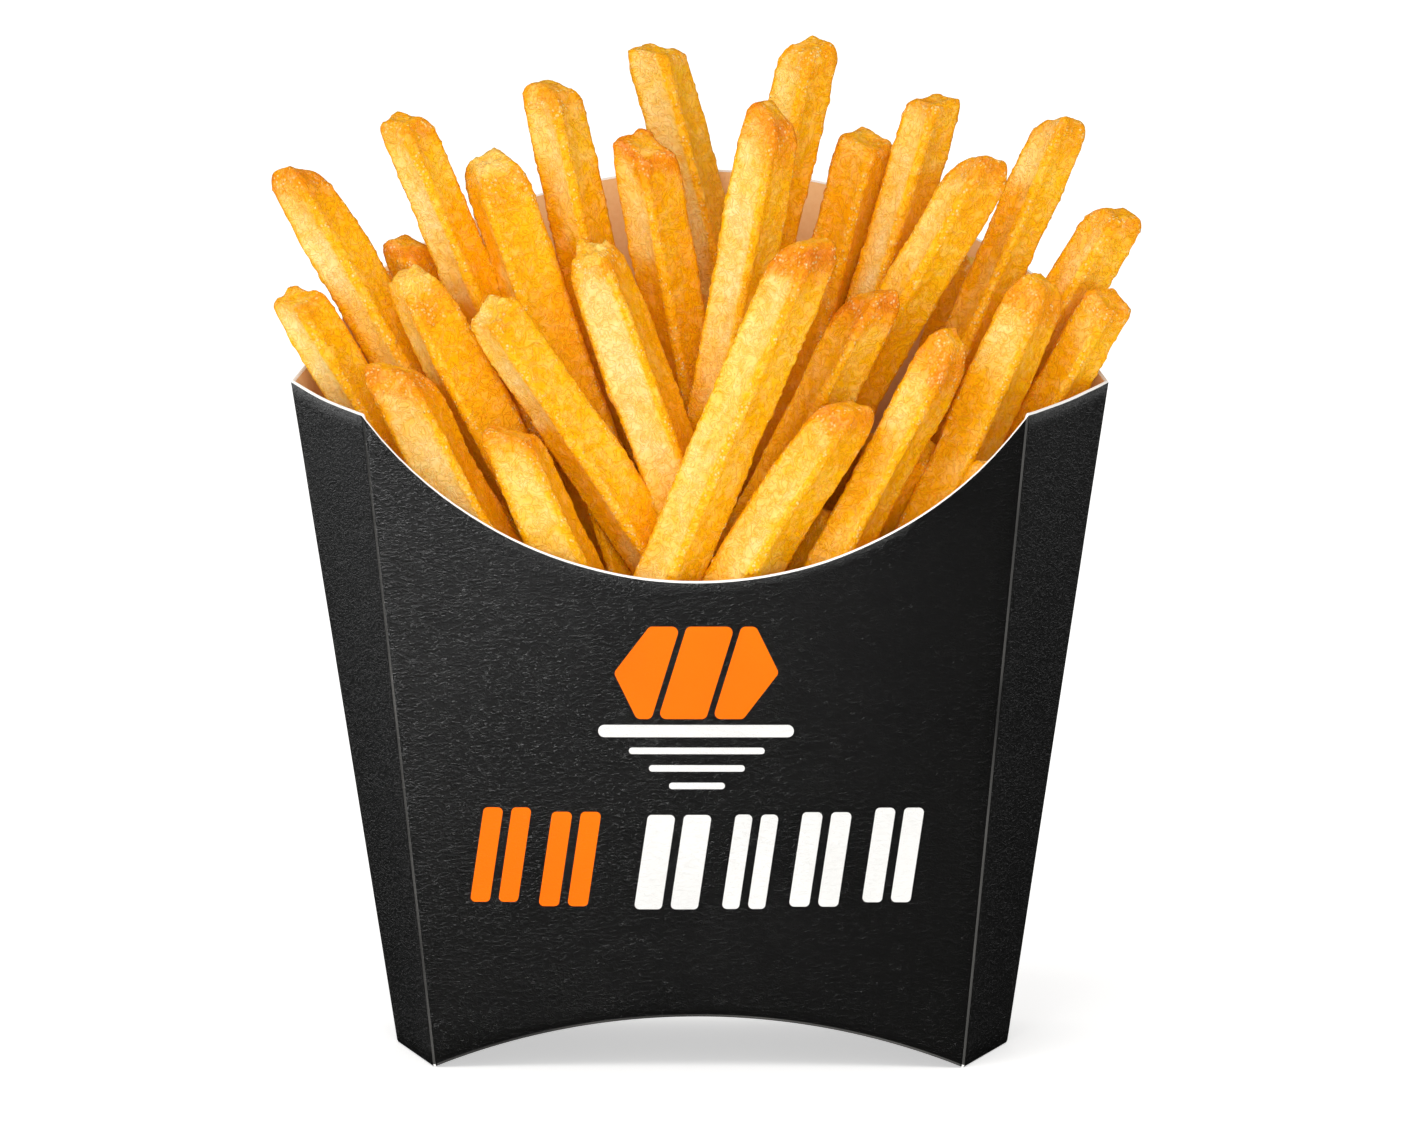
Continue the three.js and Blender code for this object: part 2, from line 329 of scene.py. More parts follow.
HALF = []
for f in (0.5, 0.75, 1.0):
    HALF.append(("arc", 0, f))
for f in np.linspace(0, 1, 13)[1:]:
    HALF.append(("panel", 0, float(f)))
for f in (0.25, 0.5, 0.75, 1.0):
    HALF.append(("arc", 1, f))
FRONT_0 = len(HALF) - 1
for f in np.linspace(0, 1, 49)[1:]:
    HALF.append(("panel", 1, float(f)))
FRONT_1 = len(HALF) - 1
for f in (0.25, 0.5, 0.75, 1.0):
    HALF.append(("arc", 2, f))
for f in np.linspace(0, 1, 13)[1:]:
    HALF.append(("panel", 2, float(f)))
for f in (0.25, 0.5):
    HALF.append(("arc", 3, f))
H = len(HALF)
RING = 2 * H - 2


def col_xy(i, z, inset):
    if i < H:
        return column(*HALF[i], z, inset)
    p = column(*HALF[RING - i], z, inset).copy()
    p[:, 1] *= -1
    return p


def limits(i):
    """Bottom and top height of a column."""
    rim = frontRim if i < H else backRim
    zb, zt = np.array([0.0]), np.array([100.0])
    for _ in range(25):
        zb = arch(col_xy(i, zb, 0.0)[:, 0])
        zt = rim(col_xy(i, zt, 0.0)[:, 0])
    return float(zb[0]), float(zt[0])


LIM = [limits(i) for i in range(RING)]
LIM = np.array(LIM)

ROWS = 44
CROWN = [(0.10, 0.16), (0.22, 0.03), (0.38, 0.03), (0.50, 0.16)]  # inset, below the top
EDGE_DROP = 0.32
BEVEL = [(0.0, 0.42), (0.12, 0.12), (0.42, 0.0)]  # rounding of the fold along the foot: inset, above the bottom


def carton_rows():
    """Each row of the closed surface, from the foot's fold up the outside, over the rim, and down the inside."""
    rows = []
    rows.append(("z", BEVEL[2][0], 0, BEVEL[2][1]))
    rows.append(("z", BEVEL[1][0], 0, BEVEL[1][1]))
    for r in range(ROWS + 1):
        rows.append(("t", 0.0, r / ROWS, 0))
    for inset, drop in CROWN:
        rows.append(("top", inset, 0, drop))
    for r in range(ROWS, -1, -4):
        rows.append(("t", BOARD, r / ROWS, 1))
    return rows


CROWS = carton_rows()
grid = np.zeros((len(CROWS), RING, 3))
for i in range(RING):
    zb, zt = LIM[i]
    for r, (kind, inset, t, v) in enumerate(CROWS):
        if kind == "z":
            z = zb + v
        elif kind == "top":
            z = zt - v
        else:
            low = zb + (BEVEL[0][1] if v == 0 else BOARD)
            z = low + (zt - EDGE_DROP - low) * t
        p = col_xy(i, np.array([z]), inset)[0]
        grid[r, i] = (p[0], p[1], z)

# wear: the cut edge and the folds waver a little
wob = noise(grid.reshape(-1, 3), 9.0, 3).reshape(grid.shape[:2]) - 0.5
grid[:, :, 2] += np.where(grid[:, :, 2] > 60, wob * 0.25, 0)

OUT_FIRST = 2
OUT_LAST = 2 + ROWS
CROWN_LAST = OUT_LAST + len(CROWN)
verts = [tuple(p) for p in grid.reshape(-1, 3)]
faces, fmat = [], []
BLACK, WHITE, TAN, FOLD_HIGHLIGHT, ORANGE, INK = range(6)


def vid(r, i):
    return r * RING + (i % RING)


def is_crease(i):
    if i < H:
        k = HALF[i]
        k2 = HALF[min(i + 1, H - 1)]
    else:
        k = HALF[RING - i]
        k2 = HALF[max(RING - i - 1, 0)]
    return k[0] == "arc" and k2[0] == "arc" and k[1] in (1, 2) and 0.25 <= min(k[2], k2[2]) <= 0.5


PRINT_R0, PRINT_R1 = OUT_FIRST + 8, OUT_FIRST + 42
PRINT_C0, PRINT_C1 = FRONT_0 + 3, FRONT_1 - 3


def in_print(r, i):
    return PRINT_R0 <= r < PRINT_R1 and PRINT_C0 <= i < PRINT_C1


for r in range(len(CROWS) - 1):
    for i in range(RING):
        if in_print(r, i):
            continue
        faces.append((vid(r, i), vid(r, i + 1), vid(r + 1, i + 1), vid(r + 1, i)))
        if r < OUT_LAST:
            if r < OUT_FIRST and is_crease(i):
                fmat.append(WHITE)
            elif is_crease(i) or (r == 1 and FRONT_0 <= i < FRONT_1):
                # painted highlight on the folds and along the front's foot
                fmat.append(FOLD_HIGHLIGHT)
            else:
                fmat.append(BLACK)
        elif r <= CROWN_LAST:
            fmat.append(WHITE)
        else:
            fmat.append(TAN)


def lid(row, upwards, mat, profile):
    """Closes the tube across Y between mirrored columns."""
    steps = 7
    inner = {}
    for i in range(1, H - 1):
        a, b = np.array(verts[vid(row, i)]), np.array(verts[vid(row, RING - i)])
        inner[i] = [vid(row, i)]
        for s in range(1, steps):
            p = a + (b - a) * s / steps
            verts.append(tuple(p))
            inner[i].append(len(verts) - 1)
        inner[i].append(vid(row, RING - i))
    for i in range(1, H - 2):
        for s in range(steps):
            q = (inner[i][s], inner[i][s + 1], inner[i + 1][s + 1], inner[i + 1][s])
            faces.append(q[::-1] if upwards else q)
            fmat.append(mat)
    for end, i in ((vid(row, 0), 1), (vid(row, H - 1), H - 2)):
        for s in range(steps):
            tri = (end, inner[i][s + 1], inner[i][s]) if i == 1 else (end, inner[i][s], inner[i][s + 1])
            faces.append(tri[::-1] if upwards else tri)
            fmat.append(mat)


lid(0, False, BLACK, None)
lid(len(CROWS) - 1, True, TAN, None)


# The print: plain fields of colour, drawn in x and z on the front panel.
def rounded(points, radius, steps=5):
    """A closed outline through points with rounded corners."""
    out = []
    n = len(points)
    for k in range(n):
        p0, p1, p2 = (np.array(points[(k + j - 1) % n], float) for j in range(3))
        a, b = (p0 - p1) / np.linalg.norm(p0 - p1), (p2 - p1) / np.linalg.norm(p2 - p1)
        half = math.acos(max(-1, min(1, float(a @ b)))) / 2
        cut = min(radius / math.tan(half), 0.48 * np.linalg.norm(p0 - p1), 0.48 * np.linalg.norm(p2 - p1))
        r = cut * math.tan(half)
        centre = p1 + (a + b) / np.linalg.norm(a + b) * r / math.sin(half)
        s, e = p1 + a * cut - centre, p1 + b * cut - centre
        ang = math.atan2(s[0] * e[1] - s[1] * e[0], float(s @ e))
        for j in range(steps + 1):
            t = ang * j / steps
            out.append(centre + np.array([s[0] * math.cos(t) - s[1] * math.sin(t), s[0] * math.sin(t) + s[1] * math.cos(t)]))
    return out


def dense(poly, gap=1.6):
    out = []
    n = len(poly)
    for k in range(n):
        a, b = np.array(poly[k]), np.array(poly[(k + 1) % n])
        m = max(1, int(np.linalg.norm(b - a) / gap))
        for j in range(m):
            out.append(a + (b - a) * j / m)
    return out


SHAPES = []


def field(points, radius, mat):
    SHAPES.append((dense(rounded(points, radius)), mat))


# a six-sided badge split by two slanted gaps
for x0, x1 in ((-12.4, -4.6), (-3.6, 3.6), (4.6, 12.4)):
    lean = 2.2
    lift = [0.0, 0.0]
    if x0 < -10:
        pts = [(x0, 61.1), (x0 + 3.4, 54.0), (x1 - lean, 54.0), (x1 + lean, 68.2), (x0 + 5.4, 68.2)]
    elif x0 > 0:
        pts = [(x0 - lean, 54.0), (x1 - 5.4, 54.0), (x1, 61.1), (x1 - 3.4, 68.2), (x0 + lean, 68.2)]
    else:
        pts = [(x0 - lean, 54.0), (x1 - lean, 54.0), (x1 + lean, 68.2), (x0 + lean, 68.2)]
    field(pts, 0.9, ORANGE)
field([(-14.8, 51.2), (14.6, 51.2), (14.6, 53.1), (-14.8, 53.1)], 0.94, INK)
for half, z in ((10.2, 48.6), (7.2, 45.9), (4.2, 43.2)):
    field([(-half, z), (half, z), (half, z + 1.0), (-half, z + 1.0)], 0.49, INK)
# a band of slanted blocks, orange then white, dipping in the middle
BLOCKS = [(-34.3, -24.9, ORANGE), (-24.0, -14.4, ORANGE), (-9.6, 2.2, INK), (3.6, 12.3, INK), (13.7, 23.3, INK), (24.7, 34.2, INK)]
for x0, x1, mat in BLOCKS:
    mid = (x0 + x1) / 2
    dip = 1.5 * (mid / 34) ** 2
    lean = 1.1
    w = (x1 - x0 - 1.3 - 2 * lean) / 2
    for a in (x0 + lean, x1 - lean - w):
        z0, z1 = 24.6 + dip, 39.2 + dip
        field([(a - lean, z0), (a + w - lean, z0), (a + w + lean, z1), (a + lean, z1)], 0.7, mat)

loop = [vid(PRINT_R0, i) for i in range(PRINT_C0, PRINT_C1 + 1)]
loop += [vid(r, PRINT_C1) for r in range(PRINT_R0 + 1, PRINT_R1 + 1)]
loop += [vid(PRINT_R1, i) for i in range(PRINT_C1 - 1, PRINT_C0 - 1, -1)]
loop += [vid(r, PRINT_C0) for r in range(PRINT_R1 - 1, PRINT_R0, -1)]
pts2, source = [], []
for v in loop:
    pts2.append((verts[v][0], verts[v][2]))
    source.append(v)
polys = [list(range(len(loop)))]
outlines = []
for poly, mat in SHAPES:
    polys.append(list(range(len(pts2), len(pts2) + len(poly))))
    for p in poly:
        pts2.append((float(p[0]), float(p[1])))
        source.append(None)
        outlines.append(p)
outlines = np.array(outlines)
for r in range(PRINT_R0 + 1, PRINT_R1):
    for i in range(PRINT_C0 + 1, PRINT_C1):
        p = np.array([verts[vid(r, i)][0], verts[vid(r, i)][2]])
        if np.linalg.norm(outlines - p, axis=1).min() > 0.55:
            pts2.append((float(p[0]), float(p[1])))
            source.append(None)
got = delaunay_2d_cdt([Vector(p) for p in pts2], [], polys, 1, 1e-5, True)
new_ids = []
for v, origin in zip(got[0], got[3]):
    known = [source[o] for o in origin if source[o] is not None]
    if known:
        new_ids.append(known[0])
        continue
    x, z = float(v[0]), float(v[1])
    za = np.array([z])
    b0, _, _, _, _, t0 = arc_data(za, 0.0, 1)
    half = -(b0[0, 0] + t0[0])
    f = (x / half + 1) / 2
    y = float(b0[0, 1] - bow(1, f, za)[0])
    verts.append((x, y, z))
    new_ids.append(len(verts) - 1)
for tri, origin in zip(got[2], got[5]):
    if not origin:
        continue
    mats = [SHAPES[o - 1][1] for o in origin if o > 0]
    ids = [new_ids[k] for k in tri]
    if len(set(ids)) < 3:
        continue
    p = [np.array(verts[k]) for k in ids]
    nrm = np.cross(p[1] - p[0], p[2] - p[0])
    if nrm[1] > 0:
        ids = ids[::-1]
    faces.append(tuple(ids))
    fmat.append(mats[0] if mats else BLACK)

used = sorted({v for f in faces for v in f})
remap = {v: k for k, v in enumerate(used)}
verts = np.array([verts[v] for v in used])
faces = [tuple(remap[v] for v in f) for f in faces]
carton = add_mesh("carton_shell", verts, faces, [black, edge_white, tan, crease, orange, white_ink], fmat, sharp=38)
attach(carton, "root")
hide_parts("carton")


# ------------------------------------------------------------------ fries
PALE = np.array([255, 223, 150]) / 255.0
GOLD = np.array([252, 182, 10]) / 255.0
DEEP = np.array([246, 152, 2]) / 255.0
RIDGE = np.array([255, 178, 3]) / 255.0
BROWN = np.array([238, 136, 3]) / 255.0
DARK = np.array([200, 94, 2]) / 255.0

# name, tip, foot (x, y), side, turn, style, then the end: its height against the tip, its slopes across the two faces, its dome, and browning
FRIES = [
    ("A", 17.4, -22.5, 126.1, -10.6, -18.2, 7.04, 41, "cut", -4.1, -0.40, 0.42, 5.3, 0.9),
    ("B", 22.9, -20.7, 100.7, -2.2, -18.3, 7.27, 36, "cut", -2.35, -0.34, 0.34, 3.5, 0.7),
    ("F1", -28.2, -20.8, 97.1, -12.4, -15.0, 7.23, 12, "cut", -1.62, 0.24, -0.78, 2.0, 0.7),
    ("L6", -30.9, -16.9, 115.4, 4.1, -9.2, 6.7, 55, "torn", -0.41, -0.26, -0.26, 0.0, 0.35),
    ("F2", -45.1, -14.2, 104.4, -20.8, -18.2, 7.4, 17, "cut", -1.62, 0.12, -0.95, 4.1, 0.7),
    ("R8", 38.1, -14.8, 109.5, 12.0, -18.3, 5.87, 34, "cut", -3.81, -0.33, -0.67, 5.75, 0.7),
    ("R6", 50.9, -6.0, 115.6, 25.6, -14.6, 6.85, 32, "cut", -1.5, -0.29, -0.32, 4.75, 0.6),
    ("R9", 27.0, -12.9, 116.8, -1.9, -4.7, 6.36, 49, "cut", -4.0, -0.50, 0.55, 5.1, 0.8),
    ("M1", -15.4, -7.2, 121.0, 7.9, -14.3, 7.2, 21, "torn", -1.38, -0.41, -0.27, 3.75, 0.35),
    ("M2", -8.3, 1.9, 137.3, 4.4, 6.5, 7.01, 50, "cut", -0.16, -0.07, -0.77, 0.25, 0.9),
    ("M3", 11.4, -7.3, 142.9, -4.7, -1.2, 6.58, 37, "cut", -1.62, 0.07, -0.6, 3.0, 0.8),
    ("T1", -7.1, 20.8, 149.3, 16.9, 18.4, 6.76, 30, "cut", 0.08, 0.07, -0.44, 0.0, 0.3),
    ("T2", 16.8, 5.1, 152.0, -3.5, 15.9, 6.36, 43, "cut", -1.14, -0.35, 0.04, 1.75, 0.3),
    ("L5", -22.2, 4.4, 144.8, -4.2, 6.3, 6.83, 39, "cut", -0.41, 0.07, -0.43, 2.25, 0.45),
    ("L4", -31.4, 1.3, 134.4, -6.3, -7.0, 7.63, 67, "torn", -2.96, -0.23, -0.45, 5.25, 0.35),
    ("L3", -44.2, 1.3, 140.3, -9.8, 3.1, 6.21, 44, "cut", -0.16, 0.0, -0.47, 1.75, 0.5),
    ("L2", -43.9, 5.9, 120.9, -18.1, 6.9, 6.11, 45, "cut", -0.41, 0.12, -0.76, 1.75, 0.7),
    ("L2b", -41.3, -6.9, 114.7, -13.5, -8.6, 7.3, 65, "torn", -1.01, -0.1, -0.54, 7.0, 0.35),
    ("L1", -60.2, 2.7, 131.5, -19.2, -2.7, 6.48, 41, "cut", -1.26, 0.76, -0.11, 4.0, 0.75),
    ("L0", -61.1, -1.0, 115.1, -27.1, -7.0, 6.29, 46, "cut", -0.53, -0.16, -0.66, 0.0, 0.3),
    ("R1", 25.5, 8.5, 137.8, 3.3, 12.3, 6.61, 33, "cut", -0.53, -0.26, -0.22, 0.0, 0.4),
    ("R2", 35.7, 5.6, 144.0, 10.6, 7.6, 6.09, 44, "cut", -0.28, -0.36, 0.16, 0.0, 0.45),
    ("R3", 42.8, -4.4, 134.7, 1.1, 1.0, 6.56, 54, "cut", -2.84, 0.04, 0.71, 5.25, 0.6),
    ("R4", 54.6, 5.6, 139.6, 19.8, -0.7, 6.17, 48, "cut", -1.74, -0.04, 0.56, 3.5, 0.4),
    ("R5", 62.6, 4.9, 125.3, 22.8, 7.9, 6.22, 49, "cut", 0.2, -0.43, 0.08, 1.75, 0.45),
    ("R7", 62.4, -1.3, 114.6, 29.0, -2.3, 5.93, 38, "cut", -0.41, -0.37, -0.29, 0.0, 0.55),
]
PACKED = [
    (27.3, -19.5, 76.3, 21.8, -18.5, 6.68),
    (44.3, -17.7, 89.9, 33.3, -16.6, 6.11),
    (-42.2, -17.2, 86.0, -32.5, -17.4, 6.15),
    (47.4, -11.3, 84.5, 36.7, -9.8, 6.04),
    (-48.4, -11.0, 84.1, -41.3, -11.6, 6.89),
    (19.9, -10.9, 82.7, 13.4, -10.8, 6.70),
    (-32.5, -8.3, 82.3, -21.1, -9.0, 6.71),
    (33.2, -8.0, 92.3, 17.0, -5.9, 6.71),
    (35.4, -3.7, 84.7, 26.1, -3.2, 6.75),
    (50.6, -3.4, 76.4, 44.7, -3.4, 6.82),
    (18.1, -1.4, 77.4, 13.4, -3.6, 6.02),
    (-48.9, -0.3, 80.0, -39.4, -2.4, 6.75),
    (49.9, 3.8, 88.7, 40.6, 4.4, 6.20),
    (-47.2, 5.5, 93.6, -29.5, 3.6, 6.83),
    (-37.4, 5.8, 89.2, -22.6, 2.8, 6.13),
    (-52.0, 6.8, 88.6, -41.4, 4.5, 6.28),
    (27.3, 9.0, 91.1, 16.0, 11.3, 6.55),
    (51.2, 10.6, 95.3, 36.2, 10.2, 6.25),
    (-50.7, 11.4, 95.7, -31.3, 13.0, 6.10),
    (-17.9, 11.7, 97.2, -13.3, 10.0, 7.04),
    (41.3, 12.4, 102.6, 27.6, 14.0, 6.20),
    (-31.0, 13.9, 93.3, -20.2, 11.1, 6.12),
    (-50.5, 14.1, 113.3, -24.3, 10.4, 7.18),
    (-7.0, 14.1, 95.8, -7.6, 12.4, 6.04),
    (51.2, 14.8, 109.3, 32.7, 16.0, 6.12),
    (19.6, 17.9, 89.4, 16.2, 13.4, 6.16),
    (-26.5, 19.0, 113.2, -18.7, 16.3, 7.33),
    (-11.7, 19.1, 96.1, -11.1, 17.7, 7.36),
    (42.0, 19.2, 115.3, 21.3, 16.3, 7.12),
    (-44.3, 20.0, 99.2, -37.2, 18.5, 6.08),
    (-4.3, 20.4, 87.0, 2.5, 18.1, 6.12),
    (-31.4, 20.6, 94.3, -26.3, 18.9, 6.02),
    (-6.0, 21.4, 114.7, 9.4, 18.2, 6.05),
]


def profile(m_face, m_arc):
    """Unit outline of a rounded square: weights of (half - r) and of r, and how near each point is to a ridge."""
    C, D, near, face = [], [], [], []
    s = np.sin(np.linspace(-1, 1, m_face) * math.pi / 2 * 0.86) / math.sin(math.pi / 2 * 0.86)
    for k in range(4):
        ca, sa = round(math.cos(k * math.pi / 2)), round(math.sin(k * math.pi / 2))
        for v in s:
            C.append((ca * 1 - sa * v, sa * 1 + ca * v))
            D.append((ca, sa))
            near.append(abs(v))
            face.append(k)
        for j in range(1, m_arc + 1):
            phi = math.pi / 2 * j / (m_arc + 1)
            x, y = math.cos(phi), math.sin(phi)
            C.append((ca - sa, sa + ca))
            D.append((ca * x - sa * y, sa * x + ca * y))
            near.append(1.25)
            face.append(k + 0.5)
    return np.array(C), np.array(D), np.array(near), np.array(face)


def keep_in(P):
    """Holds what lies below the rim inside the board, as the carton does."""
    x, y, z = P[:, 0], P[:, 1], P[:, 2]
    t = z / 101.2
    room = 0.9
    w, d, s_ = 40 + 9.9 * t, 20 + 5.5 * t, 46.4 + 15.4 * t
    below = z < np.where(y < 0, frontRim(x), backRim(x)) + 0.5
    y = np.where(below, np.clip(y, -(d - room), d - room), y)
    # the slanting side wings
    k = (s_ - w) / d
    most = s_ - room * np.sqrt(1 + k * k) - k * np.abs(y)
    x = np.where(below & (np.abs(x) > most), np.sign(x) * most, x)
    return np.stack([x, y, z], 1)


def make_fry(tip, foot, side, turn, style, lift_end, slope_a, slope_b, dome, brown, seed, fine=True):
    """One fry as rings from foot to tip, with a rounded, slanted or torn end."""
    rng = np.random.default_rng(9000 + seed)
    tip, foot = np.array(tip, float), np.array(foot, float)
    axis = tip - foot
    L = float(np.linalg.norm(axis))
    axis /= L
    L += lift_end
    front = np.array([0, -1.0, 0]) + axis * axis[1]
    front /= np.linalg.norm(front)
    right = np.cross(front, axis)
    right /= np.linalg.norm(right)
    if right[0] < 0:
        right = -right
    a = math.radians(turn)
    n1 = front * math.cos(a) - right * math.sin(a)
    n2 = front * math.sin(a) + right * math.cos(a)
    h = side * 1.075 / 2
    rc = 0.95 + 0.25 * rng.random()
    step, m_face, m_arc = (0.5, 9, 5) if fine else (0.95, 6, 3)
    C, D, near, face = profile(m_face, m_arc)
    m = len(C)
    # ring places: close together where the fry shows
    zc = axis[2]
    shown = max(2.0, (70.0 - foot[2]) / zc)
    re = 1.3 if style != "torn" else 1.1
    cs = list(np.arange(0.0, shown, 2.5)) + list(np.arange(shown, L - re, step))
    rows = [(c, 0.0) for c in cs]
    for j in range(0, 8):
        psi = math.pi / 2 * j / 8
        rows.append((L - re + re * math.sin(psi), re * (1 - math.cos(psi))))
    n_cap = 8 if fine else 4
    for j in range(0, n_cap):
        rows.append((L, re + (h - re) * (j / n_cap) ** 0.9))
    rows = np.array(rows)
    K = len(rows)
    c0 = np.repeat(rows[:, 0], m)
    inset = np.repeat(rows[:, 1], m)
    Ca, Da = np.tile(C, (K, 1)), np.tile(D, (K, 1))
    nearv, facev = np.tile(near, K), np.tile(face, K)
    hh = h - inset
    r = mix(rc, 0.42 * h, sstep(L - 2.6, L - 0.2, c0)) * hh / h
    r = np.where(c0 < L - 2.6, rc, r)
    # slow change of section and a slight bend
    t = c0 / L
    grow = 1 + 0.05 * (noise(np.stack([c0 * 0, c0 * 0, c0], 1), 17.0, seed) - 0.5) * 2
    grow *= 1 - 0.04 * sstep(L - 9, L, c0)
    ab = (Ca * (hh - r)[:, None] + Da * r[:, None]) * grow[:, None]
    ab[:, 0] *= 1 + 0.035 * (rng.random() - 0.5)
    ab[:, 1] *= 1 + 0.035 * (rng.random() - 0.5)
    # the end's plane
    plane = 2.9 * np.tanh((slope_a * ab[:, 0] + slope_b * ab[:, 1]) / 2.9) + (0.25 if fine else 0)
    reach = 3.5 + 1.9 * h * (abs(slope_a) + abs(slope_b))
    near_tip = sstep(L - reach, L, c0)
    q = np.clip(np.abs(ab).max(1) / h, 0, 1)
    c = c0 + (plane + 0.9 * dome * (1 - q**3)) * near_tip
    local = np.stack([ab[:, 0], ab[:, 1], c], 1)
    key = local + np.array([seed * 37.0, seed * 11.0, seed * 53.0])
    on_cap = sstep(0.6 * re, re + 0.2, inset)
    ridge = np.exp(-(((1.25 - nearv) / 0.26) ** 2)) * (1 - on_cap)
    rimw = np.exp(-(((inset - 0.55 * re) / (0.75 * re)) ** 2)) * (c0 > L - re - 0.6)
    edge = np.maximum(ridge, rimw)
    # relief, in mm along the surface normal
    d = 0.22 * (noise(key, 8.0, 1) - 0.5) * 2
    d += 0.09 * (noise(key, 2.7, 2) - 0.5) * 2
    warp = key + 1.1 * np.stack([noise(key, 2.0, 31), noise(key, 2.0, 32), noise(key, 2.0, 33)], 1)
    creasing = ridged(warp, (1.9, 1.9, 1.05), 4) ** 3
    d -= (0.11 if fine else 0.07) * creasing * (1 - 0.5 * ridge)
    flat = np.clip(1 - nearv**2, 0, 1)
    d -= (0.20 + 0.16 * noise(key, 11.0, 5)) * flat * (1 - on_cap)
    blister_glint = sstep(0.60, 0.80, noise(key, (0.62, 0.62, 0.75), 6))
    d += 0.13 * blister_glint * edge + 0.03 * blister_glint
    d += 0.07 * edge * (noise(key, 1.6, 7) - 0.2)
    tear = {"torn": 1.3, "cut": 0.35}[style]
    cap_rough = (noise(key, 2.2, 8) - 0.5) * 2 * 0.7 + (ridged(warp, 1.3, 9) ** 2 - 0.4) * 0.5
    sink = -0.35 * sstep(re, h, inset)
    # normals of the plain shape
    nb = Da.copy()
    side_n = nb[:, :1] * n1 + nb[:, 1:] * n2
    lift = np.clip((inset / re), 0, 1)
    lift = np.where(c0 >= L - re, np.sin(np.arccos(np.clip(1 - lift, 0, 1))), 0)
    nrm = side_n * np.sqrt(np.clip(1 - lift**2, 0, 1))[:, None] + axis * lift[:, None]
    bend = 0.55 * (rng.random(2) - 0.5) * 2
    centre = foot + axis * c[:, None]
    centre = centre + (n1 * bend[0] + n2 * bend[1]) * (np.sin(np.pi * np.clip((c - 8) / (L - 8), 0, 1)) ** 2)[:, None]
    P = centre + n1 * ab[:, :1] + n2 * ab[:, 1:]
    P = P + nrm * d[:, None] * (1 - 0.6 * on_cap)[:, None]
    P = P + axis * ((cap_rough * tear * sstep(0.2, 1.4, inset) + sink) * (c0 > L - re))[:, None]
    P = keep_in(P)
    # colour, with painted light: each face's paleness is set by which way it faces, the face turned front-left towards
    # the key light palest
    lit_side_paleness = {0: 0.82, 1: 0.28, 2: 0.45, 3: 0.3}
    pale = np.zeros(len(c0))
    rand = rng.random(4) * 0.3 - 0.15
    for k in range(4):
        lower, upper = lit_side_paleness[k] + rand[k], lit_side_paleness[(k + 1) % 4] + rand[(k + 1) % 4]
        pale += np.where(facev == k, lower, 0) + np.where(facev == k + 0.5, (lower + upper) / 2, 0)
    pale = mix(pale, 0.75 if style == "torn" else 0.4, on_cap)
    pale = np.clip(pale + 0.4 * (noise(key, 5.0, 11) - 0.5) + 0.3 * (noise(key, 1.3, 12) - 0.5), 0, 1)
    col = mix(GOLD, PALE, pale[:, None])
    col = mix(col, DEEP, (0.55 * creasing * (1 - 0.4 * pale))[:, None] * 0.6)
    col = mix(col, RIDGE, (0.75 * ridge)[:, None])
    tipw = np.exp(-((np.maximum(0, L - c0) / (2.2 + 2.5 * brown)) ** 1.3))
    spots = sstep(0.45, 0.75, noise(key, 2.4, 13))
    b = brown * tipw * (0.35 + 0.65 * np.maximum(edge, spots)) * (1 - 0.55 * on_cap * (style == "torn"))
    col = mix(col, BROWN, np.clip(b * 1.05, 0, 1)[:, None])
    dk = brown * rimw * sstep(0.55, 0.8, noise(key, 3.2, 14)) * 0.4
    col = mix(col, DARK, np.clip(dk, 0, 1)[:, None])
    # painted highlight: the blisters along the edges are paler, standing in for glints on them
    col = mix(col, PALE, (0.25 * blister_glint * edge * (1 - 0.8 * brown * tipw))[:, None])
    # how closed in each place is, sampled every few rings and points and spread between them
    idx = np.arange(K * m).reshape(K, m)
    every_r = max(1, int(round(2.6 / step)))
    rr = sorted(set(list(range(0, K, every_r)) + [K - 1]))
    cc = list(range(0, m, 4 if fine else 5))
    occ_s = closed_in(P[idx[np.ix_(rr, cc)]].reshape(-1, 3), unit(nrm[idx[np.ix_(rr, cc)]].reshape(-1, 3)), TREES(seed)).reshape(len(rr), len(cc))
    full = np.array([np.interp(np.arange(m), cc + [m], np.append(row, row[0])) for row in occ_s])
    occ = np.array([np.interp(np.arange(K), rr, full[:, j]) for j in range(m)]).T.reshape(-1)
    # painted shade: each point's colour deepens towards orange by how closed in it is
    col = np.column_stack([paint_bounce_shade(linear(col), occ), np.clip(edge + 0.35 * on_cap, 0, 1)])
    a0, a1 = idx[:-1], idx[1:]
    q = np.stack([a0, np.roll(a0, -1, 1), np.roll(a1, -1, 1), a1], -1).reshape(-1, 4)
    flip = float(np.dot(np.cross(n1, n2), axis)) < 0
    if flip:
        q = q[:, ::-1]
    faces = [tuple(x) for x in q.tolist()]
    top = P[idx[-1]].mean(0)
    bottom = P[idx[0]].mean(0)
    P = np.vstack([P, top, bottom])
    col = np.vstack([col, col[idx[-1]].mean(0), col[idx[0]].mean(0)])
    ti, bi = len(P) - 2, len(P) - 1
    for j in range(m):
        k = (j + 1) % m
        up = (idx[-1, j], idx[-1, k], ti)
        dn = (idx[0, k], idx[0, j], bi)
        faces.append(tuple(int(v) for v in (up[::-1] if flip else up)))
        faces.append(tuple(int(v) for v in (dn[::-1] if flip else dn)))
    return P, faces, col


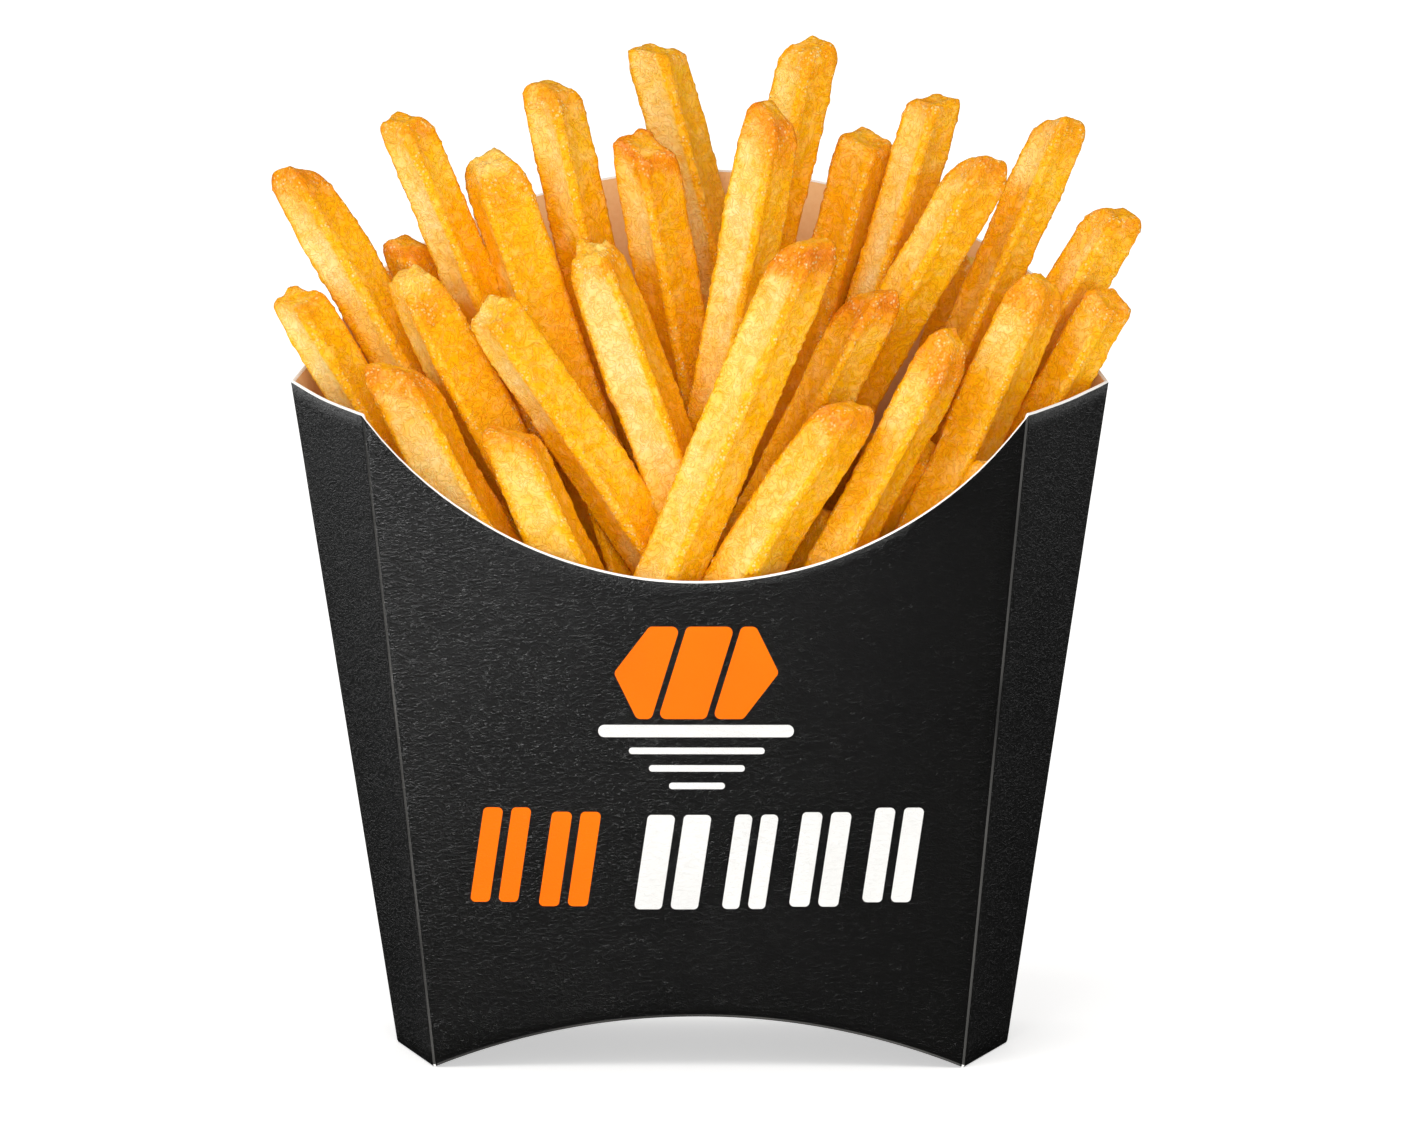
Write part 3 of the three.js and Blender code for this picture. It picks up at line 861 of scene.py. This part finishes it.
def fry_material(name):
    m, nt, b = new_material(name)
    co = object_coords(nt)
    vc = node(nt, "ShaderNodeVertexColor")
    vc.layer_name = "tone"
    f1 = noise_tex(nt, co, 700, 3.0, 0.6, 0.4)
    f2 = noise_tex(nt, co, 2600, 2.0, 0.6)
    # fine winding wrinkles of the skin
    vein = math_node(nt, "ABSOLUTE", math_node(nt, "SUBTRACT", noise_tex(nt, co, 700, 2.0, 0.5, 1.6), 0.5))
    vein = map_range(nt, vein, 0.0, 0.06, 1.0, 0.0)
    # small blisters, along the ridges and at the ends: raised in the bump and glossier, with a pale colour that is a
    # painted highlight
    vor = node(nt, "ShaderNodeTexVoronoi")
    vor.inputs["Scale"].default_value = 1500
    vor.inputs["Randomness"].default_value = 0.85
    nt.links.new(co, vor.inputs["Vector"])
    dot = map_range(nt, vor.outputs["Distance"], 0.18, 0.42, 1.0, 0.0)
    some = map_range(nt, noise_tex(nt, co, 520, 1.0), 0.44, 0.58, 0.0, 1.0)
    dot = math_node(nt, "MULTIPLY", math_node(nt, "MULTIPLY", dot, some), map_range(nt, vc.outputs["Alpha"], 0.25, 0.7, 0.06, 1.0))
    wrinkled = node(nt, "ShaderNodeMix", data_type="RGBA", blend_type="MULTIPLY")
    wrinkled.inputs["B"].default_value = (0.97, 0.82, 0.48, 1)
    nt.links.new(math_node(nt, "MULTIPLY", vein, 0.75), wrinkled.inputs["Factor"])
    nt.links.new(vc.outputs["Color"], wrinkled.inputs["A"])
    # painted highlight: the blister dots are mixed towards pale yellow
    glint_dots_mix = node(nt, "ShaderNodeMix", data_type="RGBA", blend_type="MIX")
    glint_dots_mix.inputs["B"].default_value = (1.0, 0.80, 0.36, 1)
    nt.links.new(math_node(nt, "MULTIPLY", dot, 0.62), glint_dots_mix.inputs["Factor"])
    nt.links.new(wrinkled.outputs["Result"], glint_dots_mix.inputs["A"])
    var = node(nt, "ShaderNodeHueSaturation")
    nt.links.new(glint_dots_mix.outputs["Result"], var.inputs["Color"])
    nt.links.new(map_range(nt, f1, 0.3, 0.7, 0.93, 1.04), var.inputs["Value"])
    nt.links.new(map_range(nt, f1, 0.3, 0.7, 1.06, 0.95), var.inputs["Saturation"])
    nt.links.new(var.outputs[0], b.inputs["Base Color"])
    nt.links.new(map_range(nt, math_node(nt, "ADD", f2, dot), 0.3, 1.2, 0.44, 0.22), b.inputs["Roughness"])
    height = math_node(nt, "ADD", math_node(nt, "MULTIPLY", f1, 0.5), math_node(nt, "MULTIPLY", f2, 0.22))
    height = math_node(nt, "SUBTRACT", height, math_node(nt, "MULTIPLY", vein, 0.42))
    height = math_node(nt, "ADD", height, math_node(nt, "MULTIPLY", dot, 0.55))
    bump = node(nt, "ShaderNodeBump")
    bump.inputs["Strength"].default_value = 0.8
    bump.inputs["Distance"].default_value = 0.00027
    nt.links.new(height, bump.inputs["Height"])
    nt.links.new(bump.outputs[0], b.inputs["Normal"])
    b.inputs["Subsurface Weight"].default_value = 0.22
    b.inputs["Subsurface Radius"].default_value = (1.0, 0.42, 0.10)
    b.inputs["Subsurface Scale"].default_value = 0.0022
    b.inputs["Specular IOR Level"].default_value = 0.24
    b.inputs["Coat Weight"].default_value = 0.05
    b.inputs["Coat Roughness"].default_value = 0.20
    return m


potato = fry_material("fried_potato")


# Painted shade: light that reaches a gap has bounced between fries, so each point's colour is deepened by how closed in
# it is, painting that shade into the colour.
def bar_tree(bars):
    V, F = [], []
    for tip, foot, side in bars:
        tip, foot = np.array(tip, float), np.array(foot, float)
        ax = (tip - foot) / np.linalg.norm(tip - foot)
        u = np.cross(ax, [0, 1.0, 0.1])
        u /= np.linalg.norm(u)
        v = np.cross(ax, u)
        b = len(V)
        for end in (foot, tip - ax * 1.0):
            for j in range(8):
                a = j * math.pi / 4
                V.append(end + (u * math.cos(a) + v * math.sin(a)) * side * 0.55)
        for j in range(8):
            k = (j + 1) % 8
            F.append((b + j, b + k, b + 8 + k, b + 8 + j))
        F.append(tuple(b + 8 + j for j in range(8)))
    return BVHTree.FromPolygons([Vector(p) for p in V], F)


def closed_in(points, normals, trees, reach=26.0):
    """Share of the light directions around each point that another fry blocks nearby, 0 to 1."""
    dirs = []
    for az in range(0, 360, 45):
        for el in (12, 42):
            dirs.append((math.cos(math.radians(az)) * math.cos(math.radians(el)), math.sin(math.radians(az)) * math.cos(math.radians(el)), math.sin(math.radians(el))))
    dirs.append((0, 0, 1.0))
    dirs = np.array(dirs)
    out = np.zeros(len(points))
    for i, (p, n) in enumerate(zip(points, normals)):
        w = dirs @ n
        total = blocked = 0.0
        start = Vector(p + n * 0.4)
        for k in np.nonzero(w > 0.1)[0]:
            weight = float(w[k])
            total += weight
            hit = trees.ray_cast(start, Vector(dirs[k]), reach)
            if hit[0] is not None:
                blocked += weight * (1 - hit[3] / reach) ** 0.5
        out[i] = blocked / total if total else 1.0
    return out


def linear(c):
    return np.where(c <= 0.04045, c / 12.92, ((c + 0.055) / 1.055) ** 2.4)


def paint_bounce_shade(col, occ):
    """Painted shade and bounce light: blue goes first, then some of the green, so yellow turns to deep orange."""
    deep = (0.97 * sstep(0.02, 0.42, occ))[:, None]
    return mix(col, np.minimum(col, linear(np.array([254, 175, 8]) / 255.0)), deep)


def build_kind(name, members):
    V, F, Cc = [], [], []
    base = 0
    for P, faces, col in members:
        V.append(P)
        Cc.append(col)
        F.extend(tuple(v + base for v in f) for f in faces)
        base += len(P)
    ob = add_mesh(name, np.vstack(V), F, [potato], colours=np.vstack(Cc))
    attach(ob, "root")
    return ob


KIND = {
    "fries_browned": ["A", "B", "F1", "F2", "R9", "M2", "M3", "L2", "L1"],
    "fries_torn": ["L6", "M1", "L4", "L2b", "R8", "R6", "R3", "L3"],
    "fries_pale": ["T1", "T2", "L5", "L0", "R1", "R2", "R4", "R5", "R7"],
}
BARS = {k: ((f[1], f[2], f[3]), (f[4], f[5], 60.0), f[6]) for k, f in enumerate(FRIES)}
BARS.update({100 + k: ((f[0], f[1], f[2]), (f[3], f[4], 60.0), f[5]) for k, f in enumerate(PACKED)})


def TREES(seed):
    return bar_tree([b for k, b in BARS.items() if k != seed])


rows = {f[0]: (k, f) for k, f in enumerate(FRIES)}
made = []
for kind, names in KIND.items():
    parts = []
    for n in names:
        k, (_, x, y, z, fx, fy, side, turn, style, dl, sa, sb, dome, brown) = rows[n]
        parts.append(make_fry((x, y, z), (fx, fy, 60.0), side, turn, style, dl, sa, sb, dome, brown, k))
    made.append(build_kind(kind, parts))
fract = lambda v: v - math.floor(v)
parts = []
for k, (x, y, z, fx, fy, side) in enumerate(PACKED):
    turn = 15 + 60 * fract(math.sin((k + 250) * 12.9898 + 4.1414) * 43758.5453)
    rng = np.random.default_rng(500 + k)
    parts.append(
        make_fry(
            (x, y, z), (fx, fy, 60.0), side, turn, ["cut", "torn", "cut"][k % 3],
            0.0, float(rng.uniform(-0.5, 0.2)), float(rng.uniform(-0.5, 0.2)), 1.2, float(rng.uniform(0.2, 0.7)), 100 + k, False,
        )
    )
made.append(build_kind("fries_short", parts))


# the bed that the fries stand in, inside the carton
def make_bed():
    nx, ny = 120, 56
    top = []
    for j in range(ny + 1):
        for i in range(nx + 1):
            top.append((i / nx * 2 - 1, j / ny * 2 - 1))
    top = np.array(top)

    def place(uv, z, inset=1.1):
        t = z / 101.2
        w, d, s = 40 + 9.9 * t - inset, 20 + 5.5 * t - inset, 46.4 + 15.4 * t - inset * 1.6
        half = s - (s - w) * np.abs(uv[:, 1])
        return np.stack([uv[:, 0] * half, uv[:, 1] * d], 1)

    z0 = np.full(len(top), 62.0)
    xy = place(top, z0)
    p3 = np.stack([xy[:, 0], xy[:, 1], z0], 1)
    rot = np.stack([p3[:, 0] * 0.8 + p3[:, 1] * 0.6, -p3[:, 0] * 0.6 + p3[:, 1] * 0.8, p3[:, 2] * 0], 1)
    z = 60.5 + 4.5 * ridged(rot, (16.0, 6.5, 9.0), 21) + 1.3 * noise(p3, 3.0, 22) - 2.2
    levels = [z]
    verts = [np.stack([*place(top, z).T, z], 1)]
    nrow = nx + 1
    ring = [i for i in range(nrow)] + [j * nrow + nx for j in range(1, ny + 1)]
    ring += [ny * nrow + i for i in range(nx - 1, -1, -1)] + [j * nrow for j in range(ny - 1, 0, -1)]
    faces = []
    for j in range(ny):
        for i in range(nx):
            a = j * nrow + i
            faces.append((a, a + 1, a + nrow + 1, a + nrow))
    prev = ring
    count = len(top)
    uvr = top[ring]
    for zz in (52.0, 34.0, 16.0, 10.0):
        zr = np.full(len(ring), zz)
        verts.append(np.stack([*place(uvr, zr).T, zr], 1))
        cur = list(range(count, count + len(ring)))
        count += len(ring)
        for k in range(len(ring)):
            k2 = (k + 1) % len(ring)
            faces.append((prev[k2], prev[k], cur[k], cur[k2]))
        prev = cur
    faces.append(tuple(prev[::-1]))
    V = np.vstack(verts)
    # painted shade: the bed is coloured deep orange-brown, standing in for the shade deep between the fries
    c = mix(srgb(196, 104, 18), srgb(150, 66, 6), noise(V, 4.0, 23)[:, None])
    return V, faces, np.column_stack([c, np.zeros(len(V))])


bed = build_kind("fries_bed", [make_bed()])
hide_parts("fries")

# ----------------------------------------------------------------- camera
D_CAM, EL, AZ, ROLL = 2500.0, math.radians(9.34), math.radians(1.56), math.radians(-0.23)
target = np.array([0.12, 0.0, 74.21])
eye = target + D_CAM * np.array([math.sin(AZ) * math.cos(EL), -math.cos(AZ) * math.cos(EL), math.sin(EL)])
fwd = (target - eye) / D_CAM
rgt = np.cross(fwd, [0, 0, 1.0])
rgt /= np.linalg.norm(rgt)
upv = np.cross(rgt, fwd)
r2 = rgt * math.cos(ROLL) + upv * math.sin(ROLL)
u2 = upv * math.cos(ROLL) - rgt * math.sin(ROLL)
cam = bpy.data.objects.new("camera", bpy.data.cameras.new("camera"))
bpy.context.scene.collection.objects.link(cam)
from mathutils import Matrix

e = metres(eye)
cam.matrix_world = Matrix(
    (
        (r2[0], u2[0], -fwd[0], e[0]),
        (r2[1], u2[1], -fwd[1], e[1]),
        (r2[2], u2[2], -fwd[2], e[2]),
        (0, 0, 0, 1),
    )
)
cam.data.sensor_width = 36.0
cam.data.sensor_fit = "HORIZONTAL"
cam.data.lens = 36.0 * 16517.0 / 1402.0
cam.data.clip_start = 0.05
cam.data.clip_end = 50
bpy.context.scene.camera = cam

# ------------------------------------------------------------------ stage
fm, nt, b = new_material("floor_white")
b.inputs["Base Color"].default_value = (0.88, 0.88, 0.88, 1)
b.inputs["Roughness"].default_value = 0.75
b.inputs["Specular IOR Level"].default_value = 0.1
b.inputs["Emission Color"].default_value = (1, 1, 1, 1)
b.inputs["Emission Strength"].default_value = 0.55
me = bpy.data.meshes.new("floor")
S = 6.0
me.from_pydata([(-S, -S, 0), (S, -S, 0), (S, S, 0), (-S, S, 0)], [], [(0, 1, 2, 3)])
me.materials.append(fm)
floor = bpy.data.objects.new("floor", me)
bpy.context.scene.collection.objects.link(floor)
floor.visible_glossy = False

world = bpy.data.worlds.new("studio")
bpy.context.scene.world = world
world.use_nodes = True
wn = world.node_tree
bg = next(n for n in wn.nodes if n.type == "BACKGROUND")
out = next(n for n in wn.nodes if n.type == "OUTPUT_WORLD")
bg.inputs["Color"].default_value = (1, 0.985, 0.965, 1)
bg.inputs["Strength"].default_value = 0.60
world.cycles_visibility.glossy = False
seen = wn.nodes.new("ShaderNodeBackground")
seen.inputs["Color"].default_value = (1, 1, 1, 1)
seen.inputs["Strength"].default_value = 1.0
path = wn.nodes.new("ShaderNodeLightPath")
mixw = wn.nodes.new("ShaderNodeMixShader")
wn.links.new(path.outputs["Is Camera Ray"], mixw.inputs[0])
wn.links.new(bg.outputs[0], mixw.inputs[1])
wn.links.new(seen.outputs[0], mixw.inputs[2])
wn.links.new(mixw.outputs[0], out.inputs["Surface"])


def sun(name, direction, strength, angle, colour=(1, 1, 1)):
    lamp = bpy.data.lights.new(name, "SUN")
    lamp.energy = strength
    lamp.angle = math.radians(angle)
    lamp.color = colour
    ob = bpy.data.objects.new(name, lamp)
    bpy.context.scene.collection.objects.link(ob)
    ob.rotation_euler = Vector(direction).to_track_quat("Z", "Y").to_euler()
    return ob


def softbox(name, place, aim, size, watts, colour=(1, 1, 1)):
    lamp = bpy.data.lights.new(name, "AREA")
    lamp.shape = "RECTANGLE"
    lamp.size, lamp.size_y = size
    lamp.energy = watts
    lamp.color = colour
    ob = bpy.data.objects.new(name, lamp)
    bpy.context.scene.collection.objects.link(ob)
    ob.location = place
    ob.rotation_euler = (Vector(place) - Vector(aim)).to_track_quat("Z", "Y").to_euler()
    return ob


sun("top", (-0.16, -0.42, 0.88), 0.75, 30, (1, 0.99, 0.97))
key = softbox("key", (-0.66, -0.60, 0.55), (0, 0, 0.10), (0.45, 0.45), 2.2, (1, 0.985, 0.96))
fill = softbox("fill", (0.12, -1.5, 0.36), (0, 0, 0.10), (0.8, 0.8), 9.4, (1, 0.985, 0.96))
fill.visible_glossy = False
the_food = bpy.data.collections.new("the_food")
for ob in [carton] + made + [bed]:
    the_food.objects.link(ob)
for lamp in (key, fill):
    lamp.visible_camera = False
    lamp.light_linking.receiver_collection = the_food
# three more that only give gloss to the board: on the front panel and on each side wing
board_only = bpy.data.collections.new("board_only")
board_only.objects.link(carton)
for name, place, aim, size, watts in (
    ("gloss_front", (-0.115, -0.24, 0.155), (-0.042, -0.025, 0.068), (0.08, 0.08), 0.062),
    ("gloss_left", (-0.80, 0.62, 0.16), (0, 0, 0.07), (0.6, 0.4), 1.7),
    ("gloss_right", (0.80, 0.62, 0.20), (0, 0, 0.07), (0.6, 0.4), 1.3),
):
    lamp = softbox(name, place, aim, size, watts)
    lamp.visible_diffuse = False
    lamp.visible_camera = False
    lamp.light_linking.receiver_collection = board_only
    if name == "gloss_front":
        lamp.data.spread = math.radians(44)

view = bpy.context.scene.view_settings
view.view_transform = "Standard"
view.look = "None"
view.exposure = 0.0
view.gamma = 1.0
